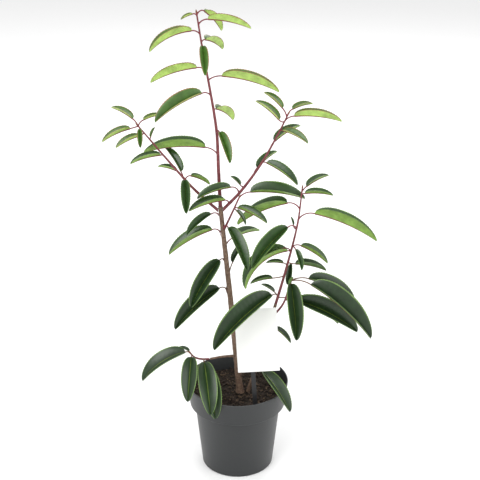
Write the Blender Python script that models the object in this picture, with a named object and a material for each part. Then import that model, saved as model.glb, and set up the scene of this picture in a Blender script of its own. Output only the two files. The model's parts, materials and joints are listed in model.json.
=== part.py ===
"""A potted Portuguese laurel: a young red-stemmed shrub, about 0.65 m tall with its nursery pot.

The scene is in metres with +Z up. The origin is the middle of the pot's flat underside, +X is on the
right in the front view and +Y points away from the viewer. Sizes below are in millimetres and degrees,
and add_solid() turns them into metres. A bearing of 0 points along +X, 90 along +Y and 270 at the viewer.
"""

import math
from collections import namedtuple

import bmesh
import bpy
from mathutils import Vector
from mathutils.bvhtree import BVHTree

METRES = 0.001
GAP = 0.3

# Pot: a turned shell with a collar below its rim and drain holes in its floor
POT_HEIGHT = 128
RIM_RADIUS = 70
COLLAR_FOOT = 95
COLLAR_FOOT_RADIUS = 66
BODY_TOP_RADIUS = 59.3
BASE_RADIUS = 49.5
WALL = 1.5
FLOOR = 2
DRAIN_HOLES = 8
DRAIN_RADIUS = 4.5
DRAIN_CIRCLE = 41
POT_SIDES = 48
SOIL_TOP = 108

# Label: a card on a stake that leans back
CARD_WIDTH = 56
CARD_HEIGHT = 90
CARD_THICK = 0.8
CARD_FOOT = (29, -43, 166)
CARD_LEAN = 7
CARD_ROLL = 3.5
STAKE_WIDTH = 6
STAKE_THICK = 1.6
STAKE_BEHIND_CARD = 30

# Leaf: outline and thickness as shares of the blade's length
HALF_WIDTH = 0.2
WIDEST = 0.45
LEAF_THICK = 0.012
LEAST_THICK = 0.6
STALK_RADIUS = 0.9
STEEPEST_STALK = 75
STALK_STEPS = 2
BLADE_STEPS = 20
LONG_BLADE_RINGS = (2, 6, 11, 16)
SHORT_BLADE_RINGS = (3, 9, 15)
SHORT_BLADE = 35

# Trunk flare: extra radius at the soil, and the height over which it fades
FLARE = 1.6
FLARE_HEIGHT = 7
LIMB_SIDES = 8

Shoot = namedtuple("Shoot", "points foot_radius tip_radius parent")
Leaf = namedtuple("Leaf", "height bearing blade lie bend roll stalk rise fold sweep")
Mass = namedtuple("Mass", "shoot start leaves")


def leaf(height, bearing, blade, lie, bend=25, roll=0, stalk=None, rise=35, fold=55, sweep=0):
    """A leaf's place and pose.

    It leaves its shoot at this height and bearing. The stalk's chord pitches up by rise, the blade's by
    lie, and the blade bends down by bend and turns left by sweep from base to tip. Its halves fold up
    by fold on each side, and roll lifts the left half.
    """
    stalk = 2 + 0.2 * blade if stalk is None else stalk
    return Leaf(height, bearing, blade, lie, bend, roll, stalk, rise, fold, sweep)


SHOOTS = {
    "trunk": Shoot(((3.5, 0, 108), (-9.5, 0, 255), (-22, 0, 388)), 4.5, 2.9, None),
    "leader": Shoot(
        ((-22, 0, 388), (-24, 0, 440), (-26, 0, 490), (-33, 0, 540), (-41.5, 0, 590), (-49, 0, 641)),
        2.5, 1.0, None),
    "left_bough": Shoot(((-21.5, 0, 379), (-55, -4, 413), (-88, -9, 455), (-124, -14, 503)), 2.1, 0.9, "trunk"),
    "right_bough": Shoot(
        ((-21.5, 0, 380), (5, -6, 412), (30, -10, 450), (49.5, -13, 488), (63.5, -14, 518)), 2.2, 0.9, "trunk"),
    "inner_shoot": Shoot(((-18.5, 0, 352), (-6, -6, 383), (2.5, -11, 405)), 1.6, 1.0, "trunk"),
    "second_stem": Shoot(
        ((14.7, 2, 108), (33.5, -12, 181), (49, -22, 250), (63.5, -26, 310), (77, -25, 372), (82.5, -22, 422)),
        3.0, 0.9, None),
    "side_bough": Shoot(((48, -22, 239), (61.5, -30, 264), (69.5, -34, 298)), 1.6, 1.0, "second_stem"),
    "low_bough": Shoot(
        ((-1.5, 0, 165), (-19, -13, 172), (-42, -27, 176), (-56, -32, 181), (-63, -34, 189)), 1.7, 1.0, "trunk"),
    "low_shoot": Shoot(((19, -1, 122), (21, -8, 138), (23, -12, 151)), 1.5, 1.0, "second_stem"),
}

MASSES = {
    "top_foliage": Mass("leader", 452, (
        leaf(638, 200, 17, -21, stalk=6, rise=27),
        leaf(639, 45, 42, -46, stalk=14, rise=12),
        leaf(627, 350, 55, -10, roll=-15, stalk=14, rise=32),
        leaf(615, 200, 60, -22, bend=45, roll=10, stalk=12, rise=28),
        leaf(605, 60, 48, -28, stalk=9, rise=10),
        leaf(600, 278, 40, -50, stalk=8, rise=20),
        leaf(570, 175, 63, -20, roll=15, stalk=12, rise=15),
        leaf(557, 355, 75, -15, roll=-10, stalk=18, rise=20),
        leaf(535, 200, 70, -27, roll=-20, stalk=15, rise=35),
        leaf(517, 60, 51, -33, stalk=6, rise=17),
        leaf(489, 295, 45, -45, stalk=10, rise=60),
        leaf(459, 180, 80, -5, roll=8, stalk=19, rise=33),
    )),
    "left_foliage": Mass("left_bough", 418, (
        leaf(503, 150, 35, 16, stalk=10, rise=47),
        leaf(502, 190, 40, -24, stalk=10, rise=-14),
        leaf(493, 200, 35, -22, stalk=6, rise=-32),
        leaf(500, 275, 25, -55, stalk=5, rise=0),
        leaf(484, 60, 15, 43, stalk=3, rise=43),
        leaf(502, 20, 26, 9, stalk=10, rise=49),
        leaf(458, 190, 41, -14, stalk=8, rise=59),
        leaf(436, 155, 28, 3, stalk=5, rise=37),
        leaf(430, 135, 42, 39, stalk=8, rise=62),
        leaf(428, 275, 45, -55, stalk=8, rise=30),
        leaf(427, 30, 33, -33, stalk=10, rise=30),
    )),
    "right_foliage": Mass("right_bough", 426, (
        leaf(435, 40, 38, 22, stalk=10, rise=70),
        leaf(449, 335, 50, -29, roll=10, stalk=10, rise=48),
        leaf(472, 35, 44, 17, stalk=10, rise=70),
        leaf(493, 325, 39, -15, roll=10, stalk=8, rise=67),
        leaf(514, 145, 33, 28, stalk=12, rise=70),
        leaf(508, 150, 40, 29, stalk=8, rise=4),
        leaf(516, 30, 31, 4, stalk=10, rise=55),
        leaf(509, 0, 61, -7, roll=-10, stalk=13, rise=29),
    )),
    "inner_foliage": Mass("inner_shoot", 352, (
        leaf(404, 358, 72, -7, roll=15, stalk=17, rise=31),
        leaf(386, 335, 45, -19, stalk=7, rise=65),
        leaf(385, 315, 24, -42, stalk=6, rise=55),
    )),
    "tall_foliage": Mass("second_stem", 258, (
        leaf(417, 30, 36, 14, stalk=9, rise=42),
        leaf(414, 355, 37, -3, stalk=4, rise=19),
        leaf(380, 350, 88, -22, roll=-15, stalk=24, rise=26),
        leaf(394, 160, 80, -31, stalk=19, rise=21),
        leaf(368, 120, 12, 56, stalk=10, rise=7),
        leaf(367, 203, 71, -45, roll=-30, stalk=15, rise=64),
        leaf(335, 190, 38, -28, stalk=13, rise=34),
        leaf(335, 197, 80, -40, bend=80, stalk=5, rise=26),
        leaf(340, 300, 29, -57, stalk=11, rise=18),
        leaf(342, 350, 43, -33, stalk=12, rise=15),
        leaf(320, 10, 45, -18, stalk=10, rise=-17),
        leaf(315, 170, 24, -5, stalk=6, rise=40),
        leaf(300, 185, 31, -14, stalk=15, rise=-9),
        leaf(268, 150, 22, 17, stalk=8, rise=54),
        leaf(268, 10, 21, -16, stalk=10, rise=-7),
        leaf(269, 208, 106, -35, roll=-20, stalk=11, rise=40),
    )),
    "side_foliage": Mass("side_bough", 258, (
        leaf(297, 280, 75, -58, stalk=4, rise=-40),
        leaf(297, 5, 74, -31, roll=20, stalk=24, rise=6),
        leaf(297, 340, 106, -38, roll=15, stalk=28, rise=-1),
        leaf(269, 0, 94, -30, roll=40, stalk=16, rise=-10),
        leaf(267, 20, 79, -37, roll=40, stalk=16, rise=-10),
        leaf(281, 300, 18, 65, stalk=12, rise=60),
        leaf(281, 75, 30, 60, stalk=8, rise=60),
    )),
    "low_left_foliage": Mass("low_bough", 175, (
        leaf(187, 195, 72, -31, bend=50, roll=-15, stalk=10, rise=32, fold=40),
        leaf(188, 140, 20, -1, stalk=4, rise=47, fold=40),
        leaf(186, 265, 62, -45, stalk=8, rise=10, fold=40),
        leaf(177, 280, 74, -44, stalk=8, rise=0, fold=40),
        leaf(177, 290, 73, -56, stalk=10, rise=-39, fold=40),
    )),
    "low_right_foliage": Mass("low_shoot", 122, (
        leaf(147, 320, 67, -43, stalk=19, rise=46, fold=40),
    )),
}

LONE_LEAVES = {
    "trunk": (
        leaf(377, 200, 43, -37, roll=-25, stalk=11, rise=16),
        leaf(359, 302, 64, -44, stalk=13, rise=28),
        leaf(351, 190, 67, -29, stalk=13, rise=36),
        leaf(334, 40, 47, -4, stalk=12, rise=25),
        leaf(313, 215, 74, -51, roll=-35, stalk=7, rise=10),
        leaf(293, 50, 34, 37, stalk=12, rise=59),
        leaf(268, 200, 82, -39, roll=-30, stalk=12, rise=29),
        leaf(224, 212, 73, -51, roll=-35, stalk=26, rise=38),
    ),
    "right_bough": (
        leaf(410, 195, 47, -15, roll=-15, stalk=13, rise=44),
        leaf(394, 207, 52, -7, stalk=7, rise=47),
        leaf(416, 130, 22, 16, stalk=4, rise=12),
    ),
    "second_stem": (
        leaf(230, 290, 52, -50, stalk=10, rise=30),
        leaf(222, 330, 31, -35, stalk=5, rise=10),
    ),
}

BOUGH_ENDS = {"leader": 452, "left_bough": 418, "right_bough": 426, "second_stem": 258, "side_bough": 258,
              "low_bough": 175}


def material(name, color, roughness):
    """A plain Principled material, made once for each name."""
    made = bpy.data.materials.get(name)
    if made is None:
        made = bpy.data.materials.new(name)
        made.use_nodes = True
        shader = made.node_tree.nodes["Principled BSDF"]
        shader.inputs["Base Color"].default_value = (*color, 1)
        shader.inputs["Roughness"].default_value = roughness
    return made


def add_solid(name, vertices, faces, look, smooth=False):
    """A mesh object from points in millimetres, with its faces turned outward."""
    mesh = bpy.data.meshes.new(name)
    mesh.from_pydata([Vector(v) * METRES for v in vertices], [], faces)
    mesh.materials.append(look)
    cleaned = bmesh.new()
    cleaned.from_mesh(mesh)
    bmesh.ops.recalc_face_normals(cleaned, faces=cleaned.faces)
    cleaned.to_mesh(mesh)
    cleaned.free()
    if smooth:
        mesh.shade_smooth()
        mesh.set_sharp_from_angle(angle=math.radians(40))
    obj = bpy.data.objects.new(name, mesh)
    bpy.context.scene.collection.objects.link(obj)
    return obj


def loft(rings, pointed=False):
    """Points and faces of a closed skin over rings of equal count, capped flat or drawn to a last point."""
    sides = len(rings[0])
    vertices = [point for ring in rings for point in ring]
    faces = [tuple(range(sides))]
    for k in range(len(rings) - 1):
        low, high = k * sides, (k + 1) * sides
        for i in range(sides):
            j = (i + 1) % sides
            faces.append((low + i, high + i, high + j, low + j))
    last = (len(rings) - 1) * sides
    if pointed:
        vertices.append(sum(rings[-1][1:], rings[-1][0]) / sides if pointed is True else pointed)
        faces += [(last + i, len(vertices) - 1, last + (i + 1) % sides) for i in range(sides)]
    else:
        faces.append(tuple(reversed(range(last, last + sides))))
    return vertices, faces


def along(points, share):
    """The point at a share of the way along the smooth (Catmull-Rom) curve through the points."""
    last = len(points) - 1
    span = min(int(share * last), last - 1)
    t = share * last - span
    p1, p2 = Vector(points[span]), Vector(points[span + 1])
    p0 = Vector(points[span - 1]) if span > 0 else 2 * p1 - p2
    p3 = Vector(points[span + 2]) if span + 2 <= last else 2 * p2 - p1
    return 0.5 * (2 * p1 + (p2 - p0) * t + (2 * p0 - 5 * p1 + 4 * p2 - p3) * t**2
                  + (3 * p1 - p0 - 3 * p2 + p3) * t**3)


def share_at(shoot, height):
    """The share of the way along a shoot, which rises all the way, at this height."""
    low, high = 0.0, 1.0
    for _ in range(30):
        middle = (low + high) / 2
        if along(shoot.points, middle).z < height:
            low = middle
        else:
            high = middle
    return (low + high) / 2


def axis_at(shoot, height):
    return along(shoot.points, share_at(shoot, height))


def radius_at(shoot, height):
    """A shoot's radius, which tapers evenly with height."""
    foot, tip = shoot.points[0][2], shoot.points[-1][2]
    share = min(max((height - foot) / (tip - foot), 0), 1)
    radius = shoot.foot_radius + (shoot.tip_radius - shoot.foot_radius) * share
    if shoot is SHOOTS["trunk"]:
        radius += FLARE * math.exp(-(height - foot) / FLARE_HEIGHT)
    return radius


def ring(center, direction, radius, sides, facing=None):
    """A ring of points round a limb, cut square to it or by the plane that faces this way."""
    facing = facing or direction
    across = direction.cross(Vector((0, 1, 0))).normalized()
    other = direction.cross(across)
    points = []
    for i in range(sides):
        angle = 2 * math.pi * i / sides
        offset = radius * (math.cos(angle) * across + math.sin(angle) * other)
        points.append(center + offset - direction * (offset.dot(facing) / direction.dot(facing)))
    return points


def clear_height(shoot):
    """The height at which a side shoot's axis has left its parent's bark, and the way it faces there."""
    parent = SHOOTS[shoot.parent]
    height = shoot.points[0][2]
    while True:
        outward = axis_at(shoot, height) - axis_at(parent, height)
        outward.z = 0
        if outward.length > radius_at(parent, height) + 2 * GAP:
            return height, outward.normalized()
        height += 0.1


def limb_rings(name, low, high, count):
    """Rings along a shoot between two heights, from None for the foot to None for the tip."""
    shoot = SHOOTS[name]
    facing = None
    if low is None:
        low, facing = shoot.points[0][2] + GAP, Vector((0, 0, 1))
        if shoot.parent:
            low, facing = clear_height(shoot)
    start = share_at(shoot, low)
    end = 1 if high is None else share_at(shoot, high)
    rings = []
    for k in range(count):
        share = start + (end - start) * (k / (count - 1)) ** (1.6 if name == "trunk" else 1)
        step = 0.01
        here = along(shoot.points, share)
        direction = (along(shoot.points, min(share + step, 1)) - along(shoot.points, max(share - step, 0))).normalized()
        cut = facing if k == 0 else (Vector((0, 0, 1)) if name == "trunk" and k == count - 1 else None)
        rings.append(ring(here, direction, radius_at(shoot, here.z), LIMB_SIDES, cut))
    return rings


def bark_seat(shoot, one):
    """Where a leaf's foot sits on a limb's bark, and the way that spot faces."""
    share = share_at(shoot, one.height)
    here = along(shoot.points, share)
    grain = (along(shoot.points, min(share + 0.02, 1)) - here).normalized()
    outward = heading(one.bearing)
    facing = (outward - grain * outward.dot(grain)).normalized()
    return here + facing * (radius_at(shoot, one.height) + 2 * GAP), facing


def heading(bearing):
    return Vector((math.cos(math.radians(bearing)), math.sin(math.radians(bearing)), 0))


def spine(leaf, root):
    """The leaf's centreline from root to tip: a point, pitch and bearing at each step of stalk and blade."""
    crest = leaf.lie + leaf.bend / 2
    foot = min(2 * leaf.rise - crest, STEEPEST_STALK)
    turn = leaf.bearing - leaf.sweep / 2
    stops = [(root, foot, turn)]
    for steps, length, first, bend, sweep in ((STALK_STEPS, leaf.stalk, foot, crest - foot, 0),
                                              (BLADE_STEPS, leaf.blade, crest, -leaf.bend, leaf.sweep)):
        for k in range(steps):
            pitch = math.radians(first + bend * (k + 0.5) / steps)
            way = heading(turn + sweep * (k + 0.5) / steps) * math.cos(pitch)
            way.z = math.sin(pitch)
            stops.append((stops[-1][0] + way * length / steps, first + bend * (k + 1) / steps,
                          turn + sweep * (k + 1) / steps))
    return stops


def leaf_axes(pitch, bearing, roll):
    """The way a leaf points, its left side and its upper side."""
    forward = heading(bearing) * math.cos(math.radians(pitch))
    forward.z = math.sin(math.radians(pitch))
    left = heading(bearing + 90)
    up = forward.cross(left)
    lift = math.radians(roll)
    return forward, left * math.cos(lift) + up * math.sin(lift), up * math.cos(lift) - left * math.sin(lift)


def blade_half_width(share):
    """The blade's half width as a share of its widest, from a blunt base to a drawn-out tip."""
    if share < WIDEST:
        return (1 - (1 - share / WIDEST) ** 2.6) ** 0.5
    return math.cos(math.pi / 2 * (share - WIDEST) / (1 - WIDEST)) ** 0.6


def stalk_ring(stop, radius, facing=None):
    """Six points round the stalk, in the order of a blade section."""
    forward, left, up = leaf_axes(stop[1], stop[2], 0)
    points = []
    for angle in (150, 90, 30, -30, -90, -150):
        offset = radius * (math.cos(math.radians(angle)) * -left + math.sin(math.radians(angle)) * up)
        if facing:
            offset -= forward * (offset.dot(facing) / forward.dot(facing))
        points.append(stop[0] + offset)
    return points


def blade_ring(leaf, stop, share):
    """The folded blade's section: right edge, midrib and left edge above, then the same below."""
    _, left, up = leaf_axes(stop[1], stop[2], leaf.roll)
    fold = math.radians(leaf.fold)
    half = HALF_WIDTH * leaf.blade * blade_half_width(share)
    thick = max(LEAST_THICK, LEAF_THICK * leaf.blade)
    edges = {}
    for side in (-1, 1):
        edge = stop[0] + half * (side * math.cos(fold) * left + math.sin(fold) * up)
        skin = thick / 2 * (math.cos(fold) * up - side * math.sin(fold) * left)
        edges[side] = (edge + skin, edge - skin)
    ridge = thick / (2 * math.cos(fold)) * up
    return [edges[1][0], stop[0] + ridge, edges[-1][0], edges[-1][1], stop[0] - ridge, edges[1][1]]


def leaf_skin(leaf, root, facing):
    """Points and faces of one leaf. On bark, its foot is cut by the plane that faces this way."""
    stops = spine(leaf, root)
    rings = [stalk_ring(stops[0], STALK_RADIUS, facing)]
    rings += [stalk_ring(stop, STALK_RADIUS) for stop in stops[1:STALK_STEPS + 1]]
    stations = LONG_BLADE_RINGS if leaf.blade > SHORT_BLADE else SHORT_BLADE_RINGS
    rings += [blade_ring(leaf, stops[STALK_STEPS + k], k / BLADE_STEPS) for k in stations]
    return loft(rings, pointed=stops[-1][0])


def tree_of(vertices, faces):
    return BVHTree.FromPolygons([tuple(v) for v in vertices], faces)


def tree_of_object(obj):
    return tree_of([v.co / METRES for v in obj.data.vertices], [tuple(p.vertices) for p in obj.data.polygons])


def touches(vertices, faces, others):
    """Whether a skin crosses any other solid or comes closer to it than the gap."""
    own = tree_of(vertices, faces)
    for name, other in others.items():
        if own.overlap(other) or any(other.find_nearest(v, GAP)[0] for v in vertices):
            print(f"a leaf near {vertices[0]} is left out: it meets {name}")
            return True
    return False


def join(obj, pieces):
    """Fuses the pieces into the object with one union, and removes them."""
    group = bpy.data.collections.new("joining")
    for piece in pieces:
        bpy.context.scene.collection.objects.unlink(piece)
        group.objects.link(piece)
    bpy.context.scene.collection.children.link(group)
    union = obj.modifiers.new("union", "BOOLEAN")
    union.operation = "UNION"
    union.operand_type = "COLLECTION"
    union.collection = group
    union.material_mode = "TRANSFER"
    bpy.context.view_layer.objects.active = obj
    bpy.ops.object.modifier_apply(modifier=union.name)
    for piece in pieces:
        bpy.data.objects.remove(piece)
    bpy.data.collections.remove(group)


def turned(name, profile, sides, look):
    """A solid turned about Z from a closed profile of (radius, height), whose ends lie on the axis."""
    mesh = bpy.data.meshes.new(name)
    shape = bmesh.new()
    points = [shape.verts.new(Vector((r, 0, z)) * METRES) for r, z in profile]
    edges = [shape.edges.new(pair) for pair in zip(points, points[1:])]
    bmesh.ops.spin(shape, geom=points + edges, cent=(0, 0, 0), axis=(0, 0, 1), angle=math.tau, steps=sides,
                   use_merge=True)
    bmesh.ops.remove_doubles(shape, verts=shape.verts, dist=0.0001 * METRES)
    bmesh.ops.recalc_face_normals(shape, faces=shape.faces)
    shape.to_mesh(mesh)
    shape.free()
    mesh.materials.append(look)
    mesh.shade_smooth()
    mesh.set_sharp_from_angle(angle=math.radians(30))
    obj = bpy.data.objects.new(name, mesh)
    bpy.context.scene.collection.objects.link(obj)
    return obj


def make_pot():
    plastic = material("pot_plastic", (0.02, 0.022, 0.023), 0.4)
    outer = [(0, 0), (BASE_RADIUS, 0), (BODY_TOP_RADIUS, COLLAR_FOOT), (COLLAR_FOOT_RADIUS, COLLAR_FOOT),
             (RIM_RADIUS, POT_HEIGHT)]
    inner = [(RIM_RADIUS - WALL, POT_HEIGHT), (COLLAR_FOOT_RADIUS - WALL, COLLAR_FOOT + WALL),
             (BODY_TOP_RADIUS - WALL, COLLAR_FOOT + WALL), (BASE_RADIUS - WALL, FLOOR), (0, FLOOR)]
    pot = turned("pot", outer + inner, POT_SIDES, plastic)
    drains = []
    for k in range(DRAIN_HOLES):
        place = heading(360 * (k + 0.5) / DRAIN_HOLES) * DRAIN_CIRCLE
        rings = [[place + DRAIN_RADIUS * heading(30 * i) + Vector((0, 0, z)) for i in range(12)]
                 for z in (-FLOOR, 2 * FLOOR)]
        drains.append(add_solid(f"drain_{k}", *loft(rings), plastic))
    cut = pot.modifiers.new("drains", "BOOLEAN")
    cut.operation = "DIFFERENCE"
    cut.operand_type = "COLLECTION"
    cut.collection = bpy.data.collections.new("drains")
    for drain in drains:
        bpy.context.scene.collection.objects.unlink(drain)
        cut.collection.objects.link(drain)
        drain.hide_render = True
        drain.display_type = "WIRE"
    return pot


def make_soil():
    """Compost that fills the pot, clear of its walls by the gap."""
    soil = material("soil", (0.012, 0.009, 0.007), 0.95)
    shelf = COLLAR_FOOT + WALL + GAP
    rise = (SOIL_TOP - COLLAR_FOOT) / (POT_HEIGHT - COLLAR_FOOT)
    top_radius = COLLAR_FOOT_RADIUS + (RIM_RADIUS - COLLAR_FOOT_RADIUS) * rise - WALL - 2 * GAP
    profile = [(0, FLOOR + GAP), (BASE_RADIUS - WALL - GAP, FLOOR + GAP), (BODY_TOP_RADIUS - WALL - GAP, shelf),
               (COLLAR_FOOT_RADIUS - WALL - 2 * GAP, shelf), (top_radius, SOIL_TOP), (0, SOIL_TOP)]
    return turned("soil", profile, POT_SIDES, soil)


def board(name, foot, across, upward, width, height, thick, look):
    """A thin board that stands on the middle of its lower edge."""
    back = across.cross(upward) * -thick
    corners = [foot + across * (side * width / 2) + upward * rise
               for side, rise in ((-1, 0), (1, 0), (1, height), (-1, height))]
    return add_solid(name, *loft([corners, [corner + back for corner in corners]]), look)


def make_label():
    """The plant's label: a card, and behind it the stake that holds it in the soil."""
    lean, roll = math.radians(CARD_LEAN), math.radians(CARD_ROLL)
    upward = Vector((-math.sin(roll), math.sin(lean) * math.cos(roll), math.cos(lean) * math.cos(roll)))
    across = Vector((math.cos(roll), 0, math.sin(roll))).cross(upward).cross(-upward).normalized()
    foot = Vector(CARD_FOOT)
    card = board("label_card", foot, across, upward, CARD_WIDTH, CARD_HEIGHT, CARD_THICK,
                 material("label_card", (0.8, 0.8, 0.78), 0.35))
    toward_viewer = across.cross(upward)
    behind = foot - toward_viewer * (CARD_THICK + GAP) - across * 8
    drop = (behind.z - SOIL_TOP - 2 * GAP) / upward.z
    stake = board("label_stake", behind - upward * drop, across, upward, STAKE_WIDTH, drop + STAKE_BEHIND_CARD,
                  STAKE_THICK, material("stake", (0.015, 0.015, 0.015), 0.5))
    return [card, stake]


def main():
    for obj in list(bpy.data.objects):
        bpy.data.objects.remove(obj)
    bark = material("bark", (0.16, 0.10, 0.07), 0.8)
    red_bark = material("red_bark", (0.14, 0.03, 0.04), 0.55)
    green = material("leaf", (0.05, 0.10, 0.02), 0.4)
    done = [make_pot(), make_soil(), *make_label()]
    for name in SHOOTS:
        if name in BOUGH_ENDS or name == "trunk":
            rings = limb_rings(name, None, BOUGH_ENDS.get(name), 12 if name == "trunk" else 7)
            look = bark if name in ("trunk", "second_stem", "low_bough") else red_bark
            done.append(add_solid(name, *loft(rings), look, smooth=True))
    stems = {}
    for name, mass in MASSES.items():
        low = mass.start + GAP if mass.shoot in BOUGH_ENDS else None
        stems[name] = add_solid(name, *loft(limb_rings(mass.shoot, low, None, 7)), red_bark)
    trees = {obj.name: tree_of_object(obj) for obj in done + list(stems.values())}
    for name, leaves in LONE_LEAVES.items():
        for k, one in enumerate(leaves):
            root, facing = bark_seat(SHOOTS[name], one)
            skin = leaf_skin(one, root, facing)
            if not touches(*skin, trees):
                made = add_solid(f"{name}_leaf_{k + 1}", *skin, green, smooth=True)
                trees[made.name] = tree_of_object(made)
    for name, mass in MASSES.items():
        others = {key: tree for key, tree in trees.items() if key != name}
        leaves = []
        for k, one in enumerate(mass.leaves):
            skin = leaf_skin(one, axis_at(SHOOTS[mass.shoot], one.height), None)
            if not touches(*skin, others):
                leaves.append(add_solid(f"{name}_{k + 1}", *skin, green))
        join(stems[name], leaves)
        stems[name].data.shade_smooth()
        stems[name].data.set_sharp_from_angle(angle=math.radians(50))
        trees[name] = tree_of_object(stems[name])


main()
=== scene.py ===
"""The looks of the potted Portuguese laurel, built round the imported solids.

Sizes here are in millimetres and degrees, and add_piece() turns them into metres. A bearing of 0 points
along +X, 90 along +Y and 270 at the viewer. The shoots, the leaf rule and the list of leaves are those of
the solids, written again here and carried to finer leaves, stalks, midribs, buds and bark.
"""

import json
import math
import random
from collections import namedtuple

import bpy
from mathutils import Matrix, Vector, noise

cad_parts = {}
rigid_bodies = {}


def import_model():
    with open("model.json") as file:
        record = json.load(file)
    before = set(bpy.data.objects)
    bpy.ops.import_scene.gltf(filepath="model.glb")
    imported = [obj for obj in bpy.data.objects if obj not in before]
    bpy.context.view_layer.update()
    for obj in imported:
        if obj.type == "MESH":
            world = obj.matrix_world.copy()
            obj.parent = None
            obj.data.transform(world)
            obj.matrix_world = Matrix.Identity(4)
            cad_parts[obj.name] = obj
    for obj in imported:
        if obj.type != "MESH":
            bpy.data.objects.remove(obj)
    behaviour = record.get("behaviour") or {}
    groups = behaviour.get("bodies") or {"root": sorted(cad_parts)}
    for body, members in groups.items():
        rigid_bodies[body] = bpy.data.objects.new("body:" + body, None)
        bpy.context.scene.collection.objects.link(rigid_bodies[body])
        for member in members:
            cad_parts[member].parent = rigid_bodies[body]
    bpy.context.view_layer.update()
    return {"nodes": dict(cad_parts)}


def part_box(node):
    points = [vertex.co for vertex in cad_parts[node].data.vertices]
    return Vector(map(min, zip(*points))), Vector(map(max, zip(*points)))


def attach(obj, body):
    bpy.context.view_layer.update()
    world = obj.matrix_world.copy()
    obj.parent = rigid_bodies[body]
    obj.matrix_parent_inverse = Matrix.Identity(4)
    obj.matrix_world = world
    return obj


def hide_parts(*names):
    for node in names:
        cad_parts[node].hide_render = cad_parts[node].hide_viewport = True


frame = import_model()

METRES = 0.001
SEED = 7
UP = Vector((0, 0, 1))

# Camera: the photograph's, from the ellipses of the pot's rim and base, with its place in metres
CAMERA_PLACE = (0.0035, -1.424, 0.983)
CAMERA_PITCH = 65.7
CAMERA_LENS = 89.25

# Lamps: place in metres, power in watts and width in metres, each aimed at the lit spot
LAMPS = {
    "key": ((-0.9, -1.3, 2.0), 28, 1.4),
    "fill": ((1.4, -0.9, 1.4), 14, 1.6),
    "back": ((0.2, 1.6, 1.6), 18, 1.6),
}
LIT_SPOT = (0, 0, 0.35)
SKY_STRENGTH = 0.9
FLOOR_REACH = 12.0

# Pot, as in the solids
POT_HEIGHT = 128
RIM_RADIUS = 70
COLLAR_FOOT = 95
COLLAR_FOOT_RADIUS = 66
BODY_TOP_RADIUS = 59.3
BASE_RADIUS = 49.5
WALL = 1.5
FLOOR = 2
SOIL_TOP = 108
GAP = 0.3

# Pot, finer than the solids: its sides, and its edges as how far each goes inward and along the wall
POT_SIDES = 144
BASE_EDGE = 1.2
COLLAR_EDGE = 0.5
OUTER_LIP = (0.4, 0.6)
INNER_LIP = (0.3, 0.5)

# Compost: its mesh, how far it has settled, and its lumps as width and height
SOIL_RINGS = 26
SOIL_SIDES = 96
SETTLED = 1.2
LUMPS = ((9, 2.2), (3, 1.2))

# Bark chips: how many, how far they keep from the wall, the heights they lie at from the compost's top,
# their steepest slope, their lengths and sizes, and their outline as shares of these
CHIP_COUNT = 900
CHIP_MARGIN = 4
CHIP_HEIGHTS = (-1.1, 0.4)
CHIP_SLOPE = 0.35
CHIP_LENGTHS = (2, 7)
CHIP_SIZES = (0.5, 1.5)
CHIP_SIDES = 5
CHIP_SHAPE = ((0, 0.5), (0.35, 1), (0.75, 0.8), (1, 0.35))
CHIP_LOOKS = (0, 0, 0, 1)

# Leaf, as in the solids: outline as shares of the blade's length, the fullness of its two ends, and the
# stalk's radius and steepest pitch
HALF_WIDTH = 0.2
WIDEST = 0.45
BASE_FULLNESS = 2.6
TIP_FULLNESS = 0.6
STALK_RADIUS = 0.9
STEEPEST_STALK = 75

# Trunk flare: extra radius at the soil, and the height over which it fades
FLARE = 1.6
FLARE_HEIGHT = 7

# Blade, finer than the solids: columns as shares of its half width, its thickness with the shares of it
# that are left at the edge, at the crease and on the smallest blade, and the curl of its halves
BLADE_COLUMNS = (0, 0.07, 0.35, 0.65, 0.92, 1)
BLADE_THICK = 0.45
EDGE_SHARE = 0.45
CREASE_SHARE = 0.9
SMALLEST_SHARE = 0.7
FULL_THICK_BLADE = 60
CURL = 14
CURL_FROM = 0.4

# Teeth and side veins of a blade: the teeth fade towards its tip, and on small blades
FEWEST_TEETH = 6
TOOTH_PITCH = 3.2
TOOTH_DEPTH = 0.32
TOOTH_FADE = 6
NOTCH_SHARE = 0.6
FULL_TOOTH_BLADE = 50
VEIN_PITCH = 6
VEIN_SLANT = 0.8
VEIN_RELIEF = 0.14

# Stalk and midrib: the stalk is thicker at its foot and head, and the midrib lies under the blade
STALK_SIDES = 8
STALK_STEPS = 10
STALK_SLIM = 0.8
STALK_FOOT = 0.5
STALK_FOOT_FADE = 4
STALK_HEAD = 0.15
MIDRIB_RADIUS = 0.75
MIDRIB_TAPER = 0.7
MIDRIB_LEAST = 0.08
MIDRIB_DEPTH = 0.25
MIDRIB_SUNK = 0.35
STOUT_LEAST = 0.35

# Buds: outline as shares of length and radius
BUD_SIDES = 8
BUD_SHAPE = ((0, 0.7), (0.2, 1), (0.5, 0.85), (0.8, 0.4))
BUD_LENGTH = 5
BUD_SWELL = 1.25

# Limbs: sides, spacing of rings, and depth of the bark's relief as a share of the radius
BROWN_LIMBS = ("trunk", "second_stem", "low_bough")
BROWN_BARK = {"sides": 20, "spacing": 1.2, "depth": 0.07}
RED_BARK = {"sides": 14, "spacing": 1.2, "depth": 0.05}
TWIG_BARK = {"sides": 12, "spacing": 2.0, "depth": 0.06}
FEWEST_RINGS = 8
LENGTH_STEPS = 40
BARK_GRAIN = 1.6
GRAIN_STRETCH = 4
KNOT_WIDTH = 9
KNOT_SHARE = 0.8
TIP_POINT = 1.5

# Creases: the angle above which an edge stays sharp
POT_CREASE = 30
CHIP_CREASE = 35
SOFT_CREASE = 60

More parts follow.
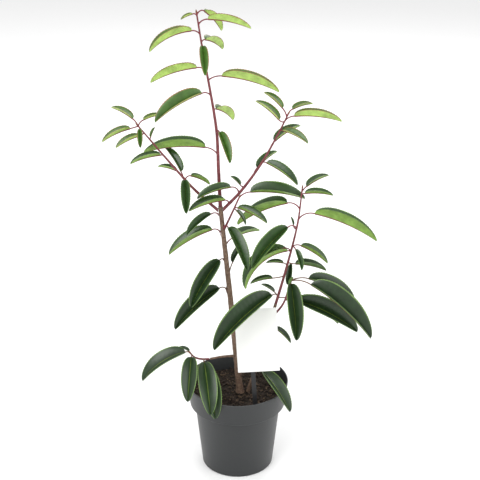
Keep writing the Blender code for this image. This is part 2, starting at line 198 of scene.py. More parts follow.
# Leaf skins: base colour, roughness, specular level and strength of grain
LEAF_SKINS = {
    "upper_old": ((0.012, 0.032, 0.008), 0.3, 0.5, 0.25),
    "upper_mid": ((0.02, 0.055, 0.010), 0.28, 0.5, 0.25),
    "upper_young": ((0.05, 0.12, 0.015), 0.3, 0.5, 0.25),
    # The underside colours are the paler green of the leaf's real underside, made brighter still to paint
    # in the glow of light shining through the leaf from behind.
    "under_old_and_painted_glow": ((0.09, 0.17, 0.04), 0.5, 0.35, 0.3),
    "under_mid_and_painted_glow": ((0.19, 0.32, 0.06), 0.48, 0.35, 0.3),
    "under_young_and_painted_glow": ((0.36, 0.52, 0.12), 0.45, 0.35, 0.3),
    "margin_old": ((0.12, 0.2, 0.05), 0.45, 0.4, 0.2),
    "margin_young": ((0.25, 0.13, 0.05), 0.45, 0.4, 0.2),
    "midrib": ((0.11, 0.16, 0.03), 0.4, 0.4, 0.2),
}

# Barks: dark and light colour, roughness, and the scale of their streaks
BARKS = {
    "stalk_red": ((0.12, 0.012, 0.02), (0.22, 0.03, 0.04), 0.42, 300),
    "stalk_old": ((0.10, 0.035, 0.03), (0.17, 0.09, 0.04), 0.5, 300),
    "bark_red": ((0.11, 0.018, 0.025), (0.21, 0.05, 0.055), 0.5, 260),
    "bark_brown": ((0.09, 0.05, 0.035), (0.24, 0.16, 0.11), 0.75, 260),
    "bud_brown": ((0.10, 0.03, 0.02), (0.25, 0.10, 0.05), 0.5, 500),
}
CHIP_BARKS = {
    "chip_dark": ((0.012, 0.008, 0.006), (0.05, 0.03, 0.02), 0.9, 300),
    "chip_pale": ((0.04, 0.025, 0.015), (0.12, 0.08, 0.05), 0.9, 300),
}

# Ages: a leaf that leaves its shoot above these heights is young or of middle age
YOUNG_ABOVE = 480
MIDDLE_ABOVE = 330
AGE_LOOKS = {
    "young": ("upper_young", "under_young_and_painted_glow", "margin_young", "midrib", "stalk_red"),
    "middle": ("upper_mid", "under_mid_and_painted_glow", "margin_old", "midrib", "stalk_red"),
    "old": ("upper_old", "under_old_and_painted_glow", "margin_old", "midrib", "stalk_old"),
}

Shoot = namedtuple("Shoot", "points foot_radius tip_radius parent")
Leaf = namedtuple("Leaf", "height bearing blade lie bend roll stalk rise fold")
Mass = namedtuple("Mass", "shoot start leaves")
Stop = namedtuple("Stop", "place pitch bearing")


def leaf(height, bearing, blade, lie, *, stalk, rise, bend=25, roll=0, fold=55):
    """A leaf's place and pose.

    It leaves its shoot at this height and bearing, with a stalk and a blade of these lengths. The stalk's
    chord pitches up by rise, the blade's by lie, and the blade bends down by bend from base to tip. Its
    halves fold up by fold on each side, and roll lifts the left half.
    """
    return Leaf(height, bearing, blade, lie, bend, roll, stalk, rise, fold)


SHOOTS = {
    "trunk": Shoot(((3.5, 0, 108), (-9.5, 0, 255), (-22, 0, 388)), 4.5, 2.9, None),
    "leader": Shoot(
        ((-22, 0, 388), (-24, 0, 440), (-26, 0, 490), (-33, 0, 540), (-41.5, 0, 590), (-49, 0, 641)),
        2.5, 1.0, None),
    "left_bough": Shoot(
        ((-21.5, 0, 379), (-55, -4, 413), (-88, -9, 455), (-124, -14, 503)), 2.1, 0.9, "trunk"),
    "right_bough": Shoot(
        ((-21.5, 0, 380), (5, -6, 412), (30, -10, 450), (49.5, -13, 488), (63.5, -14, 518)),
        2.2, 0.9, "trunk"),
    "inner_shoot": Shoot(((-18.5, 0, 352), (-6, -6, 383), (2.5, -11, 405)), 1.6, 1.0, "trunk"),
    "second_stem": Shoot(
        ((14.7, 2, 108), (33.5, -12, 181), (49, -22, 250), (63.5, -26, 310), (77, -25, 372),
         (82.5, -22, 422)),
        3.0, 0.9, None),
    "side_bough": Shoot(((48, -22, 239), (61.5, -30, 264), (69.5, -34, 298)), 1.6, 1.0, "second_stem"),
    "low_bough": Shoot(
        ((-1.5, 0, 165), (-19, -13, 172), (-42, -27, 176), (-56, -32, 181), (-63, -34, 189)),
        1.7, 1.0, "trunk"),
    "low_shoot": Shoot(((19, -1, 122), (21, -8, 138), (23, -12, 151)), 1.5, 1.0, "second_stem"),
}

MASSES = {
    "top_foliage": Mass("leader", 452, (
        leaf(638, 200, 17, -21, stalk=6, rise=27),
        leaf(639, 45, 42, -46, stalk=14, rise=12),
        leaf(627, 350, 55, -10, roll=-15, stalk=14, rise=32),
        leaf(615, 200, 60, -22, bend=45, roll=10, stalk=12, rise=28),
        leaf(605, 60, 48, -28, stalk=9, rise=10),
        leaf(600, 278, 40, -50, stalk=8, rise=20),
        leaf(570, 175, 63, -20, roll=15, stalk=12, rise=15),
        leaf(557, 355, 75, -15, roll=-10, stalk=18, rise=20),
        leaf(535, 200, 70, -27, roll=-20, stalk=15, rise=35),
        leaf(517, 60, 51, -33, stalk=6, rise=17),
        leaf(489, 295, 45, -45, stalk=10, rise=60),
        leaf(459, 180, 80, -5, roll=8, stalk=19, rise=33),
    )),
    "left_foliage": Mass("left_bough", 418, (
        leaf(503, 150, 35, 16, stalk=10, rise=47),
        leaf(502, 190, 40, -24, stalk=10, rise=-14),
        leaf(493, 200, 35, -22, stalk=6, rise=-32),
        leaf(500, 275, 25, -55, stalk=5, rise=0),
        leaf(484, 60, 15, 43, stalk=3, rise=43),
        leaf(502, 20, 26, 9, stalk=10, rise=49),
        leaf(458, 190, 41, -14, stalk=8, rise=59),
        leaf(436, 155, 28, 3, stalk=5, rise=37),
        leaf(430, 135, 42, 39, stalk=8, rise=62),
        leaf(428, 275, 45, -55, stalk=8, rise=30),
        leaf(427, 30, 33, -33, stalk=10, rise=30),
    )),
    "right_foliage": Mass("right_bough", 426, (
        leaf(435, 40, 38, 22, stalk=10, rise=70),
        leaf(449, 335, 50, -29, roll=10, stalk=10, rise=48),
        leaf(472, 35, 44, 17, stalk=10, rise=70),
        leaf(493, 325, 39, -15, roll=10, stalk=8, rise=67),
        leaf(514, 145, 33, 28, stalk=12, rise=70),
        leaf(508, 150, 40, 29, stalk=8, rise=4),
        leaf(516, 30, 31, 4, stalk=10, rise=55),
        leaf(509, 0, 61, -7, roll=-10, stalk=13, rise=29),
    )),
    "inner_foliage": Mass("inner_shoot", 352, (
        leaf(404, 358, 72, -7, roll=15, stalk=17, rise=31),
        leaf(386, 335, 45, -19, stalk=7, rise=65),
        leaf(385, 315, 24, -42, stalk=6, rise=55),
    )),
    "tall_foliage": Mass("second_stem", 258, (
        leaf(417, 30, 36, 14, stalk=9, rise=42),
        leaf(414, 355, 37, -3, stalk=4, rise=19),
        leaf(380, 350, 88, -22, roll=-15, stalk=24, rise=26),
        leaf(394, 160, 80, -31, stalk=19, rise=21),
        leaf(368, 120, 12, 56, stalk=10, rise=7),
        leaf(367, 203, 71, -45, roll=-30, stalk=15, rise=64),
        leaf(335, 190, 38, -28, stalk=13, rise=34),
        leaf(335, 197, 80, -40, bend=80, stalk=5, rise=26),
        leaf(340, 300, 29, -57, stalk=11, rise=18),
        leaf(342, 350, 43, -33, stalk=12, rise=15),
        leaf(320, 10, 45, -18, stalk=10, rise=-17),
        leaf(315, 170, 24, -5, stalk=6, rise=40),
        leaf(300, 185, 31, -14, stalk=15, rise=-9),
        leaf(268, 150, 22, 17, stalk=8, rise=54),
        leaf(268, 10, 21, -16, stalk=10, rise=-7),
        leaf(269, 208, 106, -35, roll=-20, stalk=11, rise=40),
    )),
    "side_foliage": Mass("side_bough", 258, (
        leaf(297, 280, 75, -58, stalk=4, rise=-40),
        leaf(297, 5, 74, -31, roll=20, stalk=24, rise=6),
        leaf(297, 340, 106, -38, roll=15, stalk=28, rise=-1),
        leaf(269, 0, 94, -30, roll=40, stalk=16, rise=-10),
        leaf(267, 20, 79, -37, roll=40, stalk=16, rise=-10),
        leaf(281, 300, 18, 65, stalk=12, rise=60),
        leaf(281, 75, 30, 60, stalk=8, rise=60),
    )),
    "low_left_foliage": Mass("low_bough", 175, (
        leaf(187, 195, 72, -31, bend=50, roll=-15, stalk=10, rise=32, fold=40),
        leaf(188, 140, 20, -1, stalk=4, rise=47, fold=40),
        leaf(186, 265, 62, -45, stalk=8, rise=10, fold=40),
        leaf(177, 280, 74, -44, stalk=8, rise=0, fold=40),
        leaf(177, 290, 73, -56, stalk=10, rise=-39, fold=40),
    )),
    "low_right_foliage": Mass("low_shoot", 122, (
        leaf(147, 320, 67, -43, stalk=19, rise=46, fold=40),
    )),
}

LONE_LEAVES = {
    "trunk": (
        leaf(377, 200, 43, -37, roll=-25, stalk=11, rise=16),
        leaf(359, 302, 64, -44, stalk=13, rise=28),
        leaf(351, 190, 67, -29, stalk=13, rise=36),
        leaf(334, 40, 47, -4, stalk=12, rise=25),
        leaf(313, 215, 74, -51, roll=-35, stalk=7, rise=10),
        leaf(293, 50, 34, 37, stalk=12, rise=59),
        leaf(268, 200, 82, -39, roll=-30, stalk=12, rise=29),
        leaf(224, 212, 73, -51, roll=-35, stalk=26, rise=38),
    ),
    "right_bough": (
        leaf(410, 195, 47, -15, roll=-15, stalk=13, rise=44),
        leaf(394, 207, 52, -7, stalk=7, rise=47),
        leaf(416, 130, 22, 16, stalk=4, rise=12),
    ),
    "second_stem": (
        leaf(230, 290, 52, -50, stalk=10, rise=30),
        leaf(222, 330, 31, -35, stalk=5, rise=10),
    ),
}

# The height at which each bough ends where it enters its mass
BOUGH_ENDS = {
    "leader": 452,
    "left_bough": 418,
    "right_bough": 426,
    "second_stem": 258,
    "side_bough": 258,
    "low_bough": 175,
}


def along(points, share):
    """The point at a share of the way along the smooth (Catmull-Rom) curve through the points."""
    last = len(points) - 1
    span = min(int(share * last), last - 1)
    t = share * last - span
    p1, p2 = Vector(points[span]), Vector(points[span + 1])
    p0 = Vector(points[span - 1]) if span > 0 else 2 * p1 - p2
    p3 = Vector(points[span + 2]) if span + 2 <= last else 2 * p2 - p1
    return 0.5 * (2 * p1 + (p2 - p0) * t + (2 * p0 - 5 * p1 + 4 * p2 - p3) * t**2
                  + (3 * p1 - p0 - 3 * p2 + p3) * t**3)


def direction_at(points, share, step=0.01):
    """The way the curve runs at a share of the way along it."""
    return (along(points, min(share + step, 1)) - along(points, max(share - step, 0))).normalized()


def length_between(points, start, end):
    """The length of the curve between two shares of the way along it."""
    stops = [along(points, start + (end - start) * k / LENGTH_STEPS) for k in range(LENGTH_STEPS + 1)]
    return sum((after - before).length for before, after in zip(stops, stops[1:]))


def share_at(shoot, height):
    """The share of the way along a shoot, which rises all the way, at this height."""
    low, high = 0.0, 1.0
    for _ in range(30):
        middle = (low + high) / 2
        if along(shoot.points, middle).z < height:
            low = middle
        else:
            high = middle
    return (low + high) / 2


def axis_at(shoot, height):
    return along(shoot.points, share_at(shoot, height))


def radius_at(shoot, height):
    """A shoot's radius, which tapers evenly with height."""
    foot, tip = shoot.points[0][2], shoot.points[-1][2]
    share = min(max((height - foot) / (tip - foot), 0), 1)
    radius = shoot.foot_radius + (shoot.tip_radius - shoot.foot_radius) * share
    if shoot is SHOOTS["trunk"]:
        radius += FLARE * math.exp(-(height - foot) / FLARE_HEIGHT)
    return radius


def clear_height(shoot):
    """The height at which a side shoot's axis has left its parent's bark, and the way it faces there."""
    parent = SHOOTS[shoot.parent]
    height = shoot.points[0][2]
    while True:
        outward = axis_at(shoot, height) - axis_at(parent, height)
        outward.z = 0
        if outward.length > radius_at(parent, height) + 2 * GAP:
            return height, outward.normalized()
        height += 0.1


def bark_seat(shoot, one):
    """Where a leaf's foot sits on a limb's bark, and the way that spot faces."""
    share = share_at(shoot, one.height)
    here = along(shoot.points, share)
    grain = (along(shoot.points, min(share + 0.02, 1)) - here).normalized()
    outward = heading(one.bearing)
    facing = (outward - grain * outward.dot(grain)).normalized()
    return here + facing * (radius_at(shoot, one.height) + 2 * GAP), facing


def heading(bearing):
    return Vector((math.cos(math.radians(bearing)), math.sin(math.radians(bearing)), 0))


def spine(one, root, stalk_steps, blade_steps):
    """A leaf's centreline from root to tip, with a stop at each step of its stalk and blade."""
    crest = one.lie + one.bend / 2
    foot = min(2 * one.rise - crest, STEEPEST_STALK)
    stops = [Stop(root, foot, one.bearing)]
    for steps, length, first, bend in ((stalk_steps, one.stalk, foot, crest - foot),
                                       (blade_steps, one.blade, crest, -one.bend)):
        for k in range(steps):
            pitch = math.radians(first + bend * (k + 0.5) / steps)
            way = heading(one.bearing) * math.cos(pitch)
            way.z = math.sin(pitch)
            place = stops[-1].place + way * length / steps
            stops.append(Stop(place, first + bend * (k + 1) / steps, one.bearing))
    return stops


def leaf_axes(stop, roll=0):
    """The way a leaf points at a stop, its left side and its upper side."""
    forward = heading(stop.bearing) * math.cos(math.radians(stop.pitch))
    forward.z = math.sin(math.radians(stop.pitch))
    left = heading(stop.bearing + 90)
    up = forward.cross(left)
    lift = math.radians(roll)
    return forward, left * math.cos(lift) + up * math.sin(lift), up * math.cos(lift) - left * math.sin(lift)


def blade_half_width(share):
    """The blade's half width as a share of its widest, from a blunt base to a drawn-out tip."""
    if share < WIDEST:
        return (1 - (1 - share / WIDEST) ** BASE_FULLNESS) ** 0.5
    return math.cos(math.pi / 2 * (share - WIDEST) / (1 - WIDEST)) ** TIP_FULLNESS


def principled(name, color, roughness, specular=0.5, coat=0.0):
    """A Principled material, with its node tree and shader, to which a pattern can be added."""
    made = bpy.data.materials.new(name)
    made.use_nodes = True
    shader = made.node_tree.nodes["Principled BSDF"]
    shader.inputs["Base Color"].default_value = (*color, 1)
    shader.inputs["Roughness"].default_value = roughness
    shader.inputs["Specular IOR Level"].default_value = specular
    shader.inputs["Coat Weight"].default_value = coat
    return made, made.node_tree, shader


def noise_pattern(tree, scale, detail=4.0):
    """The value of a noise that is fixed to the object."""
    place = tree.nodes.new("ShaderNodeTexCoord")
    node = tree.nodes.new("ShaderNodeTexNoise")
    node.inputs["Scale"].default_value = scale
    node.inputs["Detail"].default_value = detail
    node.inputs["Roughness"].default_value = 0.6
    tree.links.new(place.outputs["Object"], node.inputs["Vector"])
    return node.outputs["Fac"]


def vary_color(tree, shader, factor, dark, light, low=0.35, high=0.65):
    """The base colour runs from dark to light as the factor runs from low to high."""
    ramp = tree.nodes.new("ShaderNodeValToRGB")
    ramp.color_ramp.elements[0].position = low
    ramp.color_ramp.elements[0].color = (*dark, 1)
    ramp.color_ramp.elements[1].position = high
    ramp.color_ramp.elements[1].color = (*light, 1)
    tree.links.new(factor, ramp.inputs["Fac"])
    tree.links.new(ramp.outputs["Color"], shader.inputs["Base Color"])


def bump(tree, shader, height, strength, distance):
    """Relief too fine for the mesh, with its distance in metres."""
    node = tree.nodes.new("ShaderNodeBump")
    node.inputs["Strength"].default_value = strength
    node.inputs["Distance"].default_value = distance
    tree.links.new(height, node.inputs["Height"])
    tree.links.new(node.outputs["Normal"], shader.inputs["Normal"])


def shade(color, by):
    return tuple(min(1.0, c * by) for c in color)


def leaf_material(name, color, roughness, specular, grain):
    """A leaf skin: its colour is blotched a little and its surface finely pitted."""
    made, tree, shader = principled(name, color, roughness, specular)
    vary_color(tree, shader, noise_pattern(tree, 90), shade(color, 0.8), shade(color, 1.25))
    bump(tree, shader, noise_pattern(tree, 1500, 2), grain, 0.0002)
    return made


def bark_material(name, dark, light, roughness, scale):
    """A bark streaked from dark to light, with a rough grain."""
    made, tree, shader = principled(name, dark, roughness, 0.4)
    vary_color(tree, shader, noise_pattern(tree, scale, 6), dark, light, 0.3, 0.7)
    bump(tree, shader, noise_pattern(tree, 1800, 5), 0.5, 0.0004)
    return made


def add_piece(name, vertices, faces, materials, crease, face_looks=None):
    """A smooth mesh piece on the plant's body, from points in millimetres."""
    mesh = bpy.data.meshes.new(name)
    mesh.from_pydata([tuple(c * METRES for c in v) for v in vertices], [], faces)
    for each in materials:
        mesh.materials.append(each)
    if face_looks is not None:
        mesh.polygons.foreach_set("material_index", face_looks)
    mesh.shade_smooth()
    mesh.set_sharp_from_angle(angle=math.radians(crease))
    mesh.update()
    obj = bpy.data.objects.new(name, mesh)
    bpy.context.scene.collection.objects.link(obj)
    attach(obj, "root")
    return obj


class Skin:
    """Points, faces and the look of each face, gathered from many small shapes."""

    def __init__(self):
        self.vertices = []
        self.faces = []
        self.looks = []

    def add_face(self, corners, look):
        self.faces.append(tuple(corners))
        self.looks.append(look)

    def rings(self, rings, look, end=None):
        """A closed skin over rings of equal count, drawn to a point at its end if one is given."""
        first = len(self.vertices)
        sides = len(rings[0])
        self.vertices += [tuple(p) for ring in rings for p in ring]
        for k in range(len(rings) - 1):
            low, high = first + k * sides, first + (k + 1) * sides
            for i in range(sides):
                j = (i + 1) % sides
                self.add_face((low + i, low + j, high + j, high + i), look)
        last = first + (len(rings) - 1) * sides
        self.add_face(reversed(range(first, first + sides)), look)
        if end is None:
            self.add_face(range(last, last + sides), look)
            return
        self.vertices.append(tuple(end))
        for i in range(sides):
            self.add_face((last + i, last + (i + 1) % sides, len(self.vertices) - 1), look)


def tube_ring(center, direction, radius, sides, wobble=None, cut=None):
    """A ring of points round a limb, pushed in and out by wobble and cut by the plane that faces cut."""
    across = direction.cross(Vector((0, 1, 0))).normalized()
    other = direction.cross(across)
    points = []
    for i in range(sides):
        angle = -2 * math.pi * i / sides
        out = math.cos(angle) * across + math.sin(angle) * other
        size = radius if wobble is None else radius * (1 + wobble(center + out * radius))
        offset = out * size
        if cut is not None:
            offset -= direction * (offset.dot(cut) / direction.dot(cut))
        points.append(center + offset)
    return points


def stop_ring(stop, center, radius):
    """A ring round a leaf's stalk or midrib, square to the way that the leaf points at a stop."""
    _, left, up = leaf_axes(stop)
    ring = []
    for i in range(STALK_SIDES):
        angle = -2 * math.pi * i / STALK_SIDES
        ring.append(center + radius * (math.cos(angle) * left + math.sin(angle) * up))
    return ring


def bark_wobble(depth):
    """Bark relief: lengthwise ridges and small knots, as a share of the radius."""
    def wobble(point):
        width, height = BARK_GRAIN, BARK_GRAIN * GRAIN_STRETCH
        ridges = noise.noise(Vector((point.x / width, point.y / width, point.z / height)))
        knots = noise.noise(point / KNOT_WIDTH)
        return depth * ridges + depth * KNOT_SHARE * knots
    return wobble


def limb_skin(skin, name, low, high, look, sides, spacing, depth, tip=False):
    """One tapering limb with bark relief along its shoot.

    It runs between two heights, or from its foot or to its end where one of them is None. The trunk ends
    in a level cut, and a limb with a tip is drawn to a point.
    """
    shoot = SHOOTS[name]
    foot_cut = None
    if low is None:
        low, foot_cut = clear_height(shoot) if shoot.parent else (shoot.points[0][2] + GAP, UP)
    start = share_at(shoot, low)
    end = 1 if high is None else share_at(shoot, high)
    count = max(FEWEST_RINGS, int(length_between(shoot.points, start, end) / spacing))
    cuts = [foot_cut] + [None] * (count - 1) + [UP if name == "trunk" else None]
    wobble = bark_wobble(depth)
    rings = []
    for k, cut in enumerate(cuts):
        share = start + (end - start) * k / count
        here = along(shoot.points, share)
        direction = direction_at(shoot.points, share)
        rings.append(tube_ring(here, direction, radius_at(shoot, here.z), sides, wobble, cut))
    peak = None
    if tip:
        peak = sum(rings[-1], Vector()) / sides + direction_at(shoot.points, 1) * TIP_POINT
    skin.rings(rings, look, end=peak)


def end_bud(skin, shoot, look):
    """The pointed bud at the end of a shoot."""
    place, direction = along(shoot.points, 1), direction_at(shoot.points, 1)
    radius = shoot.tip_radius * BUD_SWELL
    rings = [tube_ring(place + direction * (BUD_LENGTH * share), direction, radius * size, BUD_SIDES)
             for share, size in BUD_SHAPE]
    skin.rings(rings, look, end=place + direction * BUD_LENGTH)


def stalk_and_midrib(skin, one, stops, facing, look):
    """A leaf's stalk, cut where it meets the bark that faces it, and running on as the blade's midrib."""
    steps = len(stops) - STALK_STEPS - 1
    rings = []
    for k, stop in enumerate(stops[:STALK_STEPS + 1]):
        share = k / STALK_STEPS
        stoutness = STALK_SLIM + STALK_FOOT * (1 - share) ** STALK_FOOT_FADE + STALK_HEAD * share
        rings.append(stop_ring(stop, stop.place, STALK_RADIUS * stoutness))
    if facing is not None:
        root, forward = stops[0].place, leaf_axes(stops[0])[0]
        rings[0] = [p - forward * ((p - root).dot(facing) / forward.dot(facing)) for p in rings[0]]
    for k in range(1, steps):
        stop = stops[STALK_STEPS + k]
        up = leaf_axes(stop, one.roll)[2]
        stoutness = min(1, one.blade / FULL_THICK_BLADE + STOUT_LEAST)
        radius = MIDRIB_RADIUS * (1 - k / steps) ** MIDRIB_TAPER * stoutness + MIDRIB_LEAST
        rings.append(stop_ring(stop, stop.place - up * (MIDRIB_DEPTH + radius * MIDRIB_SUNK), radius))
    skin.rings(rings, look, end=stops[-2].place)


def blade_row(one, stop, share, columns, at_tooth):
    """The points across a blade at a stop: those of its upper skin, then those of its lower."""
    _, left, up = leaf_axes(stop, one.roll)
    fold = math.radians(one.fold)
    half = HALF_WIDTH * one.blade * blade_half_width(share)
    fullness = min(1, one.blade / FULL_THICK_BLADE)
    thick = BLADE_THICK * (SMALLEST_SHARE + (1 - SMALLEST_SHARE) * fullness)
    tooth = TOOTH_DEPTH * min(1, one.blade / FULL_TOOTH_BLADE) * min(1, TOOTH_FADE * (1 - share))
    tooth *= 1 if at_tooth else -NOTCH_SHARE
    top, bottom = [], []
    for column in columns:
        out = abs(column)
        side = 1 if column > 0 else -1
        reach = half * out + (tooth if out == 1 else 0)
        tilt = fold - math.radians(CURL) * (out - CURL_FROM)
        wave = math.sin(2 * math.pi * (share * one.blade - VEIN_SLANT * half * out) / VEIN_PITCH)
        vein = VEIN_RELIEF * wave * min(1, 4 * out * (1 - out))
        place = stop.place + reach * (side * math.cos(tilt) * left + math.sin(tilt) * up)
        normal = math.cos(tilt) * up - side * math.sin(tilt) * left
        if column == 0:
            normal = up / math.cos(fold) * CREASE_SHARE
        depth = thick / 2 * (EDGE_SHARE if out == 1 else 1)
        top.append(place + normal * (vein + depth))
        bottom.append(place + normal * (vein - depth))
    return top + bottom


def blade_skin(skin, one, stops, looks):
    """A toothed, folded and veined blade along its stops, drawn to a point at both ends."""
    # The under look is the leaf's paler underside with a painted glow of backlight through the leaf.
    upper, under, margin, midrib = looks
    columns = [-c for c in reversed(BLADE_COLUMNS[1:])] + list(BLADE_COLUMNS)
    count = len(columns)
    width = 2 * count
    steps = len(stops) - 1
    first = len(skin.vertices)
    for k in range(1, steps):
        row = blade_row(one, stops[k], k / steps, columns, at_tooth=k % 2 == 1)
        skin.vertices += [tuple(p) for p in row]
    for r in range(steps - 2):
        a, b = first + r * width, first + (r + 1) * width
        for i in range(count - 1):
            out = abs(columns[i] + columns[i + 1]) / 2
            at_margin = out > BLADE_COLUMNS[-2]
            top_look = midrib if out < BLADE_COLUMNS[1] else upper
            skin.add_face((a + i, b + i, b + i + 1, a + i + 1), margin if at_margin else top_look)
            c, d = a + count + i, b + count + i
            skin.add_face((c + 1, d + 1, d, c), margin if at_margin else under)
        skin.add_face((a, a + count, b + count, b), margin)
        c, d = a + count - 1, b + count - 1
        skin.add_face((d, d + count, c + count, c), margin)
    for r, point, at_base in ((0, stops[0].place, True), (steps - 2, stops[-1].place, False)):
        skin.vertices.append(tuple(point))
        end = len(skin.vertices) - 1
        row = first + r * width
        loop = list(range(row, row + count)) + list(reversed(range(row + count, row + width)))
        for i in range(width):
            here, after = loop[i], loop[(i + 1) % width]
            corners = (here, after, end) if at_base else (after, here, end)
            skin.add_face(corners, upper if i < count - 1 else under)


def fine_leaf(blades, stalks, one, root, facing, looks):
    """One leaf, with its blade gathered into blades and its stalk and midrib into stalks."""
    steps = 2 * max(FEWEST_TEETH, int(one.blade / TOOTH_PITCH))
    stops = spine(one, root, STALK_STEPS, steps)
    stalk_and_midrib(stalks, one, stops, facing, looks[-1])
    blade_skin(blades, one, stops[STALK_STEPS:], looks[:-1])


def age_of(one):
    """Leaves are young at the top of the plant and old low down."""
    if one.height > YOUNG_ABOVE:
        return "young"
    return "middle" if one.height > MIDDLE_ABOVE else "old"


def make_plant():
    """The masses of foliage, the single leaves and the limbs."""
    looks = {name: leaf_material(f"leaf_{name}", *skin) for name, skin in LEAF_SKINS.items()}
    looks |= {name: bark_material(name, *bark) for name, bark in BARKS.items()}
    index = {name: k for k, name in enumerate(looks)}

    def leaf_looks(one):
        return [index[name] for name in AGE_LOOKS[age_of(one)]]

    def finish(piece_name, skin, replaced=()):
        piece = add_piece(piece_name, skin.vertices, skin.faces, looks.values(), SOFT_CREASE, skin.looks)
        if replaced:
            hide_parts(*replaced)

    for name, mass in MASSES.items():
        blades, stalks = Skin(), Skin()
        shoot = SHOOTS[mass.shoot]
        low = mass.start + GAP if mass.shoot in BOUGH_ENDS else None
        limb_skin(stalks, mass.shoot, low, None, index["bark_red"], **TWIG_BARK, tip=True)
        end_bud(stalks, shoot, index["bud_brown"])
        for one in mass.leaves:
            fine_leaf(blades, stalks, one, axis_at(shoot, one.height), None, leaf_looks(one))
        finish(name.replace("foliage", "leaves"), blades, [name])
        finish(name.replace("foliage", "twigs"), stalks)
    for name, leaves in LONE_LEAVES.items():
        blades, stalks = Skin(), Skin()
        nodes = {f"{name}_leaf_{k + 1}": one for k, one in enumerate(leaves)}
        packed = {node: one for node, one in nodes.items() if node in frame["nodes"]}
        for one in packed.values():
            root, facing = bark_seat(SHOOTS[name], one)
            fine_leaf(blades, stalks, one, root, facing, leaf_looks(one))
        finish(f"{name}_leaves", blades, list(packed))
        finish(f"{name}_leaf_stalks", stalks)
    for name in list(BOUGH_ENDS) + ["trunk"]:
        skin = Skin()
        brown = name in BROWN_LIMBS
        look = index["bark_brown" if brown else "bark_red"]
        limb_skin(skin, name, None, BOUGH_ENDS.get(name), look, **(BROWN_BARK if brown else RED_BARK))
        finish(f"{name}_bark", skin, [name])


def circle(radius, height, sides):
    """Points round the pot's axis."""
    angles = [2 * math.pi * i / sides for i in range(sides)]
    return [(radius * math.cos(angle), radius * math.sin(angle), height) for angle in angles]


def turned(name, profile, sides, look):
    """A closed shell turned about Z from a profile of (radius, height) whose ends lie on the axis."""
    vertices = [(0, 0, profile[0][1])]
    for radius, height in profile[1:-1]:
        vertices += circle(radius, height, sides)
    vertices.append((0, 0, profile[-1][1]))
    faces = []
    for i in range(sides):
        j = (i + 1) % sides
        faces.append((0, 1 + j, 1 + i))
        for k in range(len(profile) - 3):
            low, high = 1 + k * sides, 1 + (k + 1) * sides
            faces.append((low + i, low + j, high + j, high + i))
        last = 1 + (len(profile) - 3) * sides
        faces.append((last + i, last + j, len(vertices) - 1))
    return add_piece(name, vertices, faces, [look], POT_CREASE)


def make_pot():
    made, tree, shader = principled("pot_plastic", (0.018, 0.02, 0.021), 0.42)
    bump(tree, shader, noise_pattern(tree, 900), 0.25, 0.0003)
    shelf = COLLAR_FOOT + WALL
    outer = [
        (0, 0),
        (BASE_RADIUS - BASE_EDGE, 0),
        (BASE_RADIUS, BASE_EDGE),
        (BODY_TOP_RADIUS, COLLAR_FOOT),
        (COLLAR_FOOT_RADIUS - COLLAR_EDGE, COLLAR_FOOT),
        (COLLAR_FOOT_RADIUS, COLLAR_FOOT + COLLAR_EDGE),
        (RIM_RADIUS, POT_HEIGHT - OUTER_LIP[1]),
        (RIM_RADIUS - OUTER_LIP[0], POT_HEIGHT),
    ]
    inner = [
        (RIM_RADIUS - WALL + INNER_LIP[0], POT_HEIGHT),
        (RIM_RADIUS - WALL, POT_HEIGHT - INNER_LIP[1]),
        (COLLAR_FOOT_RADIUS - WALL, shelf),
        (BODY_TOP_RADIUS - WALL, shelf),
        (BASE_RADIUS - WALL, FLOOR),
        (0, FLOOR),
    ]
    pot = turned("pot_shell", outer + inner, POT_SIDES, made)
    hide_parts("pot")


def soil_height(x, y):
    """The compost's lumpy top: broad lumps with finer ones on them."""
    lump = 0
    for layer, (width, height) in enumerate(LUMPS):
        lump += height * noise.noise(Vector((x / width, y / width, 5 * layer)))
    return SOIL_TOP - SETTLED + lump


def make_compost(radius, foot):
    """The compost: a lumpy top, and a wall that follows the inside of the pot down to its foot."""
    made, tree, shader = principled("compost", (0.012, 0.009, 0.007), 0.95, 0.2)
    grains = noise_pattern(tree, 400, 6)
    vary_color(tree, shader, grains, (0.006, 0.0045, 0.0035), (0.035, 0.025, 0.018))
    bump(tree, shader, noise_pattern(tree, 700, 6), 0.9, 0.001)
    vertices = [(0, 0, SOIL_TOP)]
    for r in range(1, SOIL_RINGS + 1):
        ring = circle(radius * r / SOIL_RINGS, 0, SOIL_SIDES)
        vertices += [(x, y, soil_height(x, y)) for x, y, _ in ring]
    shelf = COLLAR_FOOT + WALL + GAP
    wall = (
        (COLLAR_FOOT_RADIUS - WALL - 2 * GAP, shelf),
        (BODY_TOP_RADIUS - WALL - GAP, shelf),
        (BASE_RADIUS - WALL - GAP, foot),
    )
    for size, height in wall:
        vertices += circle(size, height, SOIL_SIDES)
    faces = [(0, 1 + i, 1 + (i + 1) % SOIL_SIDES) for i in range(SOIL_SIDES)]
    for r in range(SOIL_RINGS + len(wall) - 1):
        a, b = 1 + r * SOIL_SIDES, 1 + (r + 1) * SOIL_SIDES
        for i in range(SOIL_SIDES):
            j = (i + 1) % SOIL_SIDES
            faces.append((a + i, b + i, b + j, a + j))
    faces.append(tuple(reversed(range(len(vertices) - SOIL_SIDES, len(vertices)))))
    soil = add_piece("compost", vertices, faces, [made], SOFT_CREASE)
    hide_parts("soil")


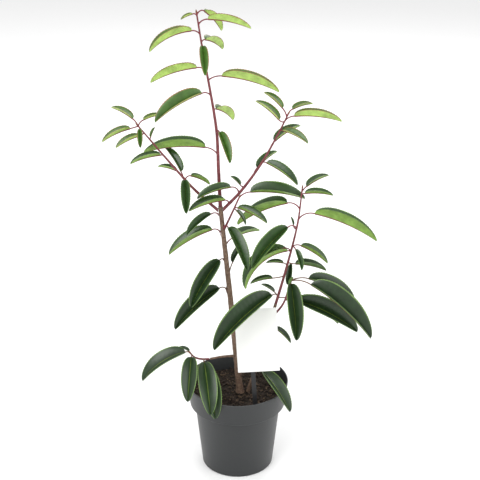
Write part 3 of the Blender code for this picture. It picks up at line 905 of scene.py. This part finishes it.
def make_chips(radius):
    """Bark chips strewn by seed over the compost."""
    rng = random.Random(SEED)
    chips = Skin()
    for _ in range(CHIP_COUNT):
        away = (radius - CHIP_MARGIN) * math.sqrt(rng.random())
        angle = rng.uniform(0, 2 * math.pi)
        height = SOIL_TOP + rng.uniform(*CHIP_HEIGHTS)
        place = Vector((away * math.cos(angle), away * math.sin(angle), height))
        slope = (rng.uniform(-1, 1), rng.uniform(-1, 1), rng.uniform(-CHIP_SLOPE, CHIP_SLOPE))
        way = Vector(slope).normalized()
        length, size = rng.uniform(*CHIP_LENGTHS), rng.uniform(*CHIP_SIZES)
        rings = [tube_ring(place + way * (length * share), way, size * grow, CHIP_SIDES)
                 for share, grow in CHIP_SHAPE]
        chips.rings(rings, rng.choice(CHIP_LOOKS))
    barks = [bark_material(name, *bark) for name, bark in CHIP_BARKS.items()]
    piece = add_piece("bark_chips", chips.vertices, chips.faces, barks, CHIP_CREASE, chips.looks)


def make_soil():
    low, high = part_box("soil")
    radius = high.x / METRES
    make_compost(radius, low.z / METRES)
    make_chips(radius)


def dress_node(name, look):
    """Give a solid that shows as it is a material of its own."""
    node = frame["nodes"][name]
    node.data.materials.clear()
    node.data.materials.append(look)


def make_label():
    """A bare white card on a dark stake."""
    card, tree, shader = principled("card_white", (0.85, 0.85, 0.83), 0.3, coat=0.3)
    bump(tree, shader, noise_pattern(tree, 300, 2), 0.05, 0.0002)
    dress_node("label_card", card)
    plastic, tree, shader = principled("stake_plastic", (0.012, 0.012, 0.013), 0.5)
    bump(tree, shader, noise_pattern(tree, 900, 3), 0.2, 0.0002)
    dress_node("label_stake", plastic)


def make_floor():
    mesh = bpy.data.meshes.new("floor")
    corners = [(FLOOR_REACH * x, FLOOR_REACH * y, 0) for x, y in ((-1, -1), (1, -1), (1, 1), (-1, 1))]
    mesh.from_pydata(corners, [], [(0, 1, 2, 3)])
    floor = bpy.data.objects.new("floor", mesh)
    mesh.materials.append(principled("floor_pale", (0.9, 0.9, 0.9), 0.9, 0.1)[0])
    bpy.context.scene.collection.objects.link(floor)


def make_lights():
    """A white sky, with soft lamps above and to the sides."""
    world = bpy.data.worlds.new("studio")
    world.use_nodes = True
    sky = world.node_tree.nodes["Background"]
    sky.inputs["Color"].default_value = (1, 1, 1, 1)
    sky.inputs["Strength"].default_value = SKY_STRENGTH
    bpy.context.scene.world = world
    for name, (place, power, width) in LAMPS.items():
        light = bpy.data.lights.new(name, "AREA")
        light.energy = power
        light.size = width
        lamp = bpy.data.objects.new(name, light)
        lamp.location = place
        lamp.rotation_euler = (Vector(LIT_SPOT) - Vector(place)).to_track_quat("-Z", "Y").to_euler()
        bpy.context.scene.collection.objects.link(lamp)


def make_camera():
    camera = bpy.data.cameras.new("camera")
    camera.lens = CAMERA_LENS
    viewer = bpy.data.objects.new("camera", camera)
    viewer.location = CAMERA_PLACE
    viewer.rotation_euler = (math.radians(CAMERA_PITCH), 0, 0)
    bpy.context.scene.collection.objects.link(viewer)
    bpy.context.scene.camera = viewer
    bpy.context.scene.view_settings.view_transform = "Standard"


make_floor()
make_lights()
make_camera()
make_pot()
make_soil()
make_label()
make_plant()
